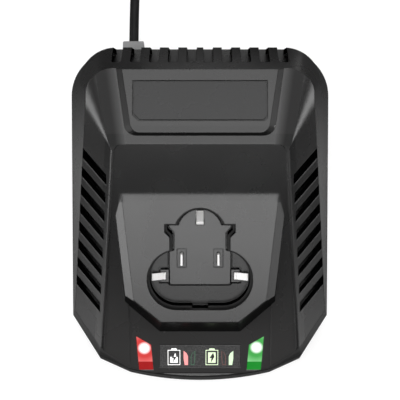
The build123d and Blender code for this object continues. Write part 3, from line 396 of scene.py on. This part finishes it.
# Name plate and label film: thin satin polycarbonate with a finer grain than the shell's. The bare
# plate is pressed into its recess on the deck, and the paler film is glued to the front lip.
film = variant(shell, "satin_film", ((0.0085, 0.0085, 0.0087), (0.0110, 0.0110, 0.0112)), gloss=0.34)
film.node_tree.nodes["grain"].inputs["Scale"].default_value = 4200.0
dress(film, "name_plate")


def plate_edge(place, facing):
    """The thin upright edge round the plate."""
    return abs(facing.z) < 0.5


# Painted shade: the plate's thin edge is coloured near black.
finish_faces("name_plate", painted_shade_black, plate_edge)
grained = variant(film, "grained_film", ((0.036, 0.036, 0.036), (0.072, 0.071, 0.071)))
grained.node_tree.nodes["mottle"].inputs["Scale"].default_value = 2300.0
dress(grained, "indicator_label")

# Indicator lenses: clear acrylic, red on the left and green on the right, pressed into the lip.
# A lamp on the board lights each from behind: a white spot that fades, and a dark fold in front.
lens_looks = {
    "red_lens": {
        "spot": (-0.02249, -0.05828, 0.01986),
        "body": (0.60, 0.050, 0.048),
        "halo": (0.80, 0.20, 0.19),
        "fold": (0.26, 0.002, 0.003),
    },
    "green_lens": {
        "spot": (0.02280, -0.05799, 0.02000),
        "body": (0.060, 0.36, 0.075),
        "halo": (0.26, 0.62, 0.28),
        "fold": (0.0, 0.20, 0.012),
    },
}
unlit_low = 0.15
unlit_high = 0.25
light_reach = 0.009
# Shares of that reach where the white spot ends, the lens's own tone lies and the halo is full.
spot_share = 0.14
spot_white = (1.5, 1.5, 1.5, 1)
body_shares = (0.31, 0.42)
halo_share = 0.75
fold_front = -0.06345
fold_back = -0.06335
for name, tones in lens_looks.items():
    body = tones["body"]
    lit = mottled(name, 300.0, [v * unlit_low for v in body], [v * unlit_high for v in body])
    tree = lit.node_tree
    shader = tree.nodes["Principled BSDF"]
    shader.inputs["Roughness"].default_value = 0.22
    shader.inputs["Emission Strength"].default_value = 1.0
    place = tree.nodes["Texture Coordinate"].outputs["Object"]
    from_spot = measure(tree, "DISTANCE", place, tones["spot"])
    fade = tree.nodes.new("ShaderNodeValToRGB")
    stops = fade.color_ramp.elements
    stops[0].position = spot_share
    stops[0].color = spot_white
    stops[1].position = halo_share
    stops[1].color = (*tones["halo"], 1)
    for share in body_shares:
        stops.new(share).color = (*body, 1)
    tree.links.new(spread(tree, from_spot, 0.0, light_reach), fade.inputs["Fac"])
    axes = tree.nodes.new("ShaderNodeSeparateXYZ")
    tree.links.new(place, axes.inputs["Vector"])
    blend = tree.nodes.new("ShaderNodeMix")
    blend.data_type = "RGBA"
    blend.inputs["A"].default_value = (*tones["fold"], 1)
    tree.links.new(spread(tree, axes.outputs["Y"], fold_front, fold_back), blend.inputs["Factor"])
    tree.links.new(fade.outputs["Color"], blend.inputs["B"])
    tree.links.new(blend.outputs["Result"], shader.inputs["Emission Color"])
    dress(lit, name)

# Pictograms: thin screen print on the label film, a charging and a full battery, each with a
# small sign for both lenses, lit or unlit. The ink lies on the film and has no lettering.
# Outlines are in millimetres, across and along the charger.
along_lip = Vector((0.0, lip_up.z, -lip_up.y))
film_depth = 0.00112
film_point = Vector((0.0, 0.015, 0.058)) - lip_up * film_depth
ink_layer = 0.00002
ink_wear = 0.92
# Painted light: the ink glows a little in its own colour.
ink_painted_glow = 0.72


def ink(name, tone, shapes, lift=0.0):
    """Lays flat outlines on the film as one print."""
    mesh = bpy.data.meshes.new(name)
    print_faces = bmesh.new()
    for shape in shapes:
        corners = []
        for x, y in shape:
            run = (y / 1000 - film_point.y) / along_lip.y
            corner = film_point + Vector((x / 1000, 0, 0)) + along_lip * run + lip_up * lift
            corners.append(print_faces.verts.new(corner))
        print_faces.faces.new(corners)
    bmesh.ops.triangulate(print_faces, faces=print_faces.faces[:])
    for face in print_faces.faces:
        face.normal_update()
        if face.normal.z < 0:
            face.normal_flip()
    print_faces.to_mesh(mesh)
    print_faces.free()
    piece = bpy.data.objects.new(name, mesh)
    scene.collection.objects.link(piece)
    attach(piece, "charger")
    paint = mottled(name, 1500.0, [v * ink_wear for v in tone], tone)
    tree = paint.node_tree
    shader = tree.nodes["Principled BSDF"]
    shader.inputs["Roughness"].default_value = 0.5
    # Painted light: the print glows in its own colour.
    shader.inputs["Emission Strength"].default_value = ink_painted_glow
    tree.links.new(tree.nodes["tone"].outputs["Color"], shader.inputs["Emission Color"])
    mesh.materials.append(paint)


def bar(left, right, front, back):
    """A filled rectangle."""
    return [(left, front), (right, front), (right, back), (left, back)]


def hollow_bar(left, right, front, back, wide):
    """A rectangle's outline, as four strips."""
    return [bar(left, right, front, front + wide),
            bar(left, right, back - wide, back),
            bar(left, left + wide, front + wide, back - wide),
            bar(right - wide, right, front + wide, back - wide)]


battery_half = 2.54
battery_front = -64.75
battery_back = -58.94
battery_line = 0.27
fill_side = 1.0
fill_front = battery_front + 0.85
cap_half = 1.25
cap_end_half = 1.0
cap_back = battery_back + 0.6
bolt_y = -62.0
bolt_tone = (0.008, 0.008, 0.008)
bolt_outline = [(0.35, 1.75), (-0.95, -0.05), (-0.15, -0.05), (-0.4, -1.75),
                (1.0, 0.4), (0.2, 0.4), (0.65, 1.75)]
tip_left = -0.1
tip_right = 0.95
for word, middle, fill_back, tone in (("charging", -10.52, -61.6, (0.78, 0.78, 0.77)),
                                      ("full", 4.80, -59.85, (0.56, 0.68, 0.46))):
    left = middle - battery_half
    right = middle + battery_half
    case = hollow_bar(left, right, battery_front, battery_back, battery_line)
    cap = [(middle - cap_half, battery_back), (middle + cap_half, battery_back),
           (middle + cap_end_half, cap_back), (middle - cap_end_half, cap_back)]
    fill = bar(left + fill_side, right - fill_side, fill_front, fill_back)
    ink("print_" + word, tone, case + [cap, fill])
    bolt = [(middle + x, bolt_y + y) for x, y in bolt_outline]
    ink("bolt_" + word, bolt_tone, [bolt], ink_layer)
    if word == "charging":
        tip = [bolt[0], (middle + tip_left, fill_back), (middle + tip_right, fill_back), bolt[-1]]
        ink("bolt_tip", tone, [tip], 2 * ink_layer)
sign = [(0.0, -59.25), (1.25, -60.2), (1.8, -61.4), (1.8, -64.75), (0.45, -64.75), (0.0, -62.3)]
sign_middle = (0.95, -62.2)
hollow_across = 0.72
hollow_along = 0.90
for word, left, hand, tone, solid in (("red_on", -6.64, 1, (0.68, 0.24, 0.24), True),
                                      ("green_off", -1.93, -1, (0.035, 0.095, 0.055), False),
                                      ("red_off", 8.66, 1, (0.10, 0.045, 0.04), False),
                                      ("green_on", 13.45, -1, (0.48, 0.64, 0.43), True)):
    outer = [(left + hand * x, y) for x, y in sign]
    shapes = [outer]
    if not solid:
        mid_x = left + hand * sign_middle[0]
        mid_y = sign_middle[1]
        inner = [(mid_x + (x - mid_x) * hollow_across, mid_y + (y - mid_y) * hollow_along) for x, y in outer]
        shapes = []
        for corner in range(len(sign)):
            after = (corner + 1) % len(sign)
            shapes.append([outer[corner], outer[after], inner[after], inner[corner]])
    ink("print_" + word, tone, shapes)

# Terminal block: glass-filled nylon, a shade lighter than the shell, screwed under the socket.
# Its steep walls are painted shade, and four thin black strips along both sides of its island are painted
# shadow for the narrow gap there.
block = variant(shell, "terminal_nylon", ((0.011, 0.011, 0.0112), (0.015, 0.015, 0.0152)))
dress(block, "terminal_block")
finish_faces("terminal_block", painted_shade_black, steep_wall)
shadow_inner = 0.01205
shadow_outer = 0.0126
# Each run's height along the seat's upward direction, its front end and its back end.
shadow_runs = ((0.03653, -0.0332, -0.0277), (0.03503, -0.0272, -0.0206))
shadow_strip_mesh = bpy.data.meshes.new("island_shadow_strips")
strips = bmesh.new()
for side in (-1, 1):
    for level, front, back in shadow_runs:
        corners = []
        for x, y in bar(shadow_inner, shadow_outer, front, back):
            z = (level - y * seat_up.y) / seat_up.z
            corners.append(strips.verts.new((side * x, y, z)))
        strips.faces.new(corners if side > 0 else corners[::-1])
strips.to_mesh(shadow_strip_mesh)
strips.free()
shadow_strip_mesh.materials.append(painted_shade_black)
island_shadow_strips = bpy.data.objects.new("island_shadow_strips", shadow_strip_mesh)
scene.collection.objects.link(island_shadow_strips)
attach(island_shadow_strips, "charger")

# Sprung contacts, blades and mains pins: bronze strip and brass with a bright nickel plate.
# The three leaves are clipped in the block by their rolled roots and the blades stand upright.
plated = mottled("bright_nickel", 1400.0, (0.90, 0.89, 0.88), (0.98, 0.97, 0.96), detail=3.0)
tree = plated.node_tree
tree.nodes["Principled BSDF"].inputs["Metallic"].default_value = 0.25
brushed = tree.nodes.new("ShaderNodeMapping")
brushed.inputs["Scale"].default_value = (1.0, 0.12, 1.0)
tree.links.new(tree.nodes["Texture Coordinate"].outputs["Object"], brushed.inputs["Vector"])
tree.links.new(brushed.outputs["Vector"], tree.nodes["mottle"].inputs["Vector"])
dulled(plated, low=0.52, high=0.62)
dress(plated, "top_contact", "left_contact", "right_contact", "left_blade", "right_blade", "plug_pins")

# Screws and heat sink: zinc-plated steel and plain metal, duller than the contacts. The screws cut their
# threads in plastic bosses, but for the one that holds the transistor to the sink on the board.
zinc = variant(plated, "zinc_steel", ((0.42, 0.42, 0.43), (0.58, 0.58, 0.57)), dullness=(0.40, 0.55))
dress(zinc, "socket_screws", "terminal_screws", "housing_screws", "board_screws")
dress(zinc, "transistor_screw", "heat_sink")

# Plug, tie and feet: soft black PVC and rubber, the feet set in shallow recesses under the tray.
# The relief is a mid-grey moulding of the same kind, with its neck in a notch of the tray's back wall.
rubber = variant(pvc, "soft_rubber", dullness=(0.5, 0.7))
rubber.node_tree.nodes["mottle"].inputs["Scale"].default_value = 420.0
dress(rubber, "plug_body", "cord_tie")
dress(rubber, "back_left_foot", "back_right_foot", "front_left_foot", "front_right_foot")
relief = variant(rubber, "relief_pvc", ((0.19, 0.19, 0.193), (0.25, 0.25, 0.253)))
dress(relief, "strain_relief")

# Main board and what is soldered to it: laminate, ferrite, tape, sleeves, moulded boxes and wires.
# It is screwed to the tray and shut in by the housing. Each finish is two tones and a roughness.
laminate = ((0.012, 0.075, 0.025), (0.020, 0.105, 0.036), 0.4)
ferrite = ((0.035, 0.034, 0.034), (0.060, 0.058, 0.058), 0.7)
yellow_tape = ((0.55, 0.36, 0.03), (0.66, 0.45, 0.05), 0.35)
enamelled_copper = ((0.42, 0.16, 0.06), (0.56, 0.24, 0.10), 0.3)
dark_sleeve = ((0.012, 0.012, 0.022), (0.020, 0.020, 0.034), 0.3)
ochre_box = ((0.46, 0.32, 0.03), (0.56, 0.40, 0.05), 0.4)
ceramic_tube = ((0.55, 0.52, 0.45), (0.66, 0.63, 0.56), 0.3)
black_resin = ((0.018, 0.018, 0.018), (0.028, 0.028, 0.028), 0.5)
cream_nylon = ((0.58, 0.55, 0.46), (0.68, 0.65, 0.56), 0.45)
red_dome = ((0.55, 0.02, 0.02), (0.68, 0.04, 0.03), 0.2)
green_dome = ((0.03, 0.42, 0.06), (0.05, 0.55, 0.09), 0.2)
red_wire = ((0.38, 0.012, 0.012), (0.48, 0.02, 0.02), 0.45)
brown_wire = ((0.20, 0.07, 0.03), (0.28, 0.10, 0.05), 0.45)
board_finishes = {
    "main_board": laminate,
    "transformer_core": ferrite,
    "choke_core": ferrite,
    "transformer_winding": yellow_tape,
    "choke_windings": enamelled_copper,
    "bulk_capacitor": dark_sleeve,
    "output_capacitors": dark_sleeve,
    "suppression_capacitor": ochre_box,
    "fuse": ceramic_tube,
    "bridge_rectifier": black_resin,
    "control_chip": black_resin,
    "switching_transistor": black_resin,
    "lead_header": cream_nylon,
    "red_lamp": red_dome,
    "green_lamp": green_dome,
    "contact_leads": red_wire,
    "mains_leads": brown_wire,
}
for name, (low, high, rough) in board_finishes.items():
    look = mottled(name, 500.0, low, high)
    look.node_tree.nodes["Principled BSDF"].inputs["Roughness"].default_value = rough
    dress(look, name)

# Floor: a plain white table, seen pure white by the camera and through clear pieces. Black plastic
# in a product picture mirrors little of it, so gloss sees only a small share of the white.
mirror_share = 0.05
floor_half = 3
ground = bpy.data.meshes.new("floor")
edges_of_table = bar(-floor_half, floor_half, -floor_half, floor_half)
ground.from_pydata([(x, y, 0) for x, y in edges_of_table], [], [(0, 1, 2, 3)])
floor = bpy.data.objects.new("floor", ground)
scene.collection.objects.link(floor)
paper = bpy.data.materials.new("white_table")
paper.use_nodes = True
tree = paper.node_tree
shader = tree.nodes["Principled BSDF"]
shader.inputs["Roughness"].default_value = 0.9
shader.inputs["Specular IOR Level"].default_value = 0.1
place = tree.nodes.new("ShaderNodeTexCoord")
axes = tree.nodes.new("ShaderNodeSeparateXYZ")
tree.links.new(place.outputs["Object"], axes.inputs["Vector"])
lengthways = axes.outputs["Y"]
# The table's colour is painted light and shade: black under and close behind the charger, pale beside,
# behind and before it, so that it throws light up and is mirrored only from there.
palest = 0.22
front_share = 0.35
beside = spread(tree, work_out(tree, "ABSOLUTE", axes.outputs["X"]), start=0.045, end=0.060)
short_of_back = spread(tree, lengthways, start=0.02, end=0.06, low=1.0, high=0.0)
behind = spread(tree, lengthways, start=0.11, end=0.15)
before = spread(tree, lengthways, start=-0.055, end=-0.075, high=front_share)
flanks = work_out(tree, "MULTIPLY", beside, short_of_back)
flanks_and_behind = work_out(tree, "MAXIMUM", flanks, behind)
painted_floor_tone = work_out(tree, "MAXIMUM", flanks_and_behind, before)
tree.links.new(spread(tree, painted_floor_tone, start=0.0, end=1.0, high=palest), shader.inputs["Base Color"])
white = tree.nodes.new("ShaderNodeEmission")
white.inputs["Strength"].default_value = 0.74
shade = tree.nodes.new("ShaderNodeBsdfDiffuse")
shade.inputs["Color"].default_value = (0.30, 0.30, 0.30, 1)
seen = tree.nodes.new("ShaderNodeAddShader")
tree.links.new(white.outputs["Emission"], seen.inputs[0])
tree.links.new(shade.outputs["BSDF"], seen.inputs[1])


def white_share(tree):
    """How much of the white a ray sees: all of it straight or through clear pieces, a share mirrored."""
    rays = tree.nodes.new("ShaderNodeLightPath").outputs
    direct = work_out(tree, "MAXIMUM", rays["Is Camera Ray"], rays["Is Transmission Ray"])
    mirrored = work_out(tree, "MULTIPLY_ADD", rays["Is Glossy Ray"], mirror_share, direct)
    mirrored.node.use_clamp = True
    return mirrored


choice = tree.nodes.new("ShaderNodeMixShader")
tree.links.new(white_share(tree), choice.inputs["Fac"])
tree.links.new(shader.outputs["BSDF"], choice.inputs[1])
tree.links.new(seen.outputs["Shader"], choice.inputs[2])
tree.links.new(choice.outputs["Shader"], tree.nodes["Material Output"].inputs["Surface"])
ground.materials.append(paper)

# Light: soft boxes overhead, in front and behind, panels at both sides and at the back, and two low
# strips at the front corners. Each row gives a place, an aim, a width, a depth and a power.
# The room round them is seen white in the way that the table is, and lights the charger only dimly.
for name, spot, aim, wide, deep, power in (
        ("top_box", (0.0, 0.03, 1.0), (0.0, 0.0, 0.03), 0.60, 0.44, 2.45),
        ("front_box", (0.0, -0.365, 0.96), (0.0, 0.0, 0.03), 0.60, 0.34, 3.35),
        ("left_panel", (-0.66, -0.20, 0.50), (0.0, -0.02, 0.04), 0.55, 0.34, 3.7),
        ("right_panel", (0.66, -0.20, 0.50), (0.0, -0.02, 0.04), 0.55, 0.34, 1.35),
        ("low_left", (-0.64, -0.40, 0.08), (0.0, -0.04, 0.03), 0.34, 0.14, 0.42),
        ("low_right", (0.64, -0.40, 0.08), (0.0, -0.04, 0.03), 0.34, 0.14, 0.38),
        ("back_panel", (0.0, 0.95, 0.42), (0.0, 0.05, 0.03), 1.0, 0.5, 4.2),
        ("right_rear", (0.66, 0.03, 0.58), (0.0, 0.03, 0.04), 0.24, 0.30, 1.3),
        ("rear_box", (0.0, 0.60, 0.90), (0.0, 0.0, 0.03), 0.80, 0.24, 2.6),
        ("side_left", (-0.95, 0.28, 0.18), (0.0, 0.0, 0.03), 0.6, 0.28, 1.5),
        ("side_right", (0.95, 0.28, 0.18), (0.0, 0.0, 0.03), 0.6, 0.28, 1.5)):
    lamp = bpy.data.lights.new(name, "AREA")
    lamp.shape = "RECTANGLE"
    lamp.size = wide
    lamp.size_y = deep
    lamp.energy = power
    holder = bpy.data.objects.new(name, lamp)
    holder.location = spot
    holder.rotation_euler = (Vector(aim) - Vector(spot)).to_track_quat("-Z", "Y").to_euler()
    scene.collection.objects.link(holder)
room = bpy.data.worlds.new("room")
room.use_nodes = True
scene.world = room
tree = room.node_tree
backdrop = tree.nodes.new("ShaderNodeMix")
backdrop.data_type = "RGBA"
backdrop.inputs["A"].default_value = (0.05, 0.05, 0.05, 1)
backdrop.inputs["B"].default_value = (1.0, 1.0, 1.0, 1)
tree.links.new(white_share(tree), backdrop.inputs["Factor"])
tree.links.new(backdrop.outputs["Result"], tree.nodes["Background"].inputs["Color"])

bpy.context.view_layer.update()
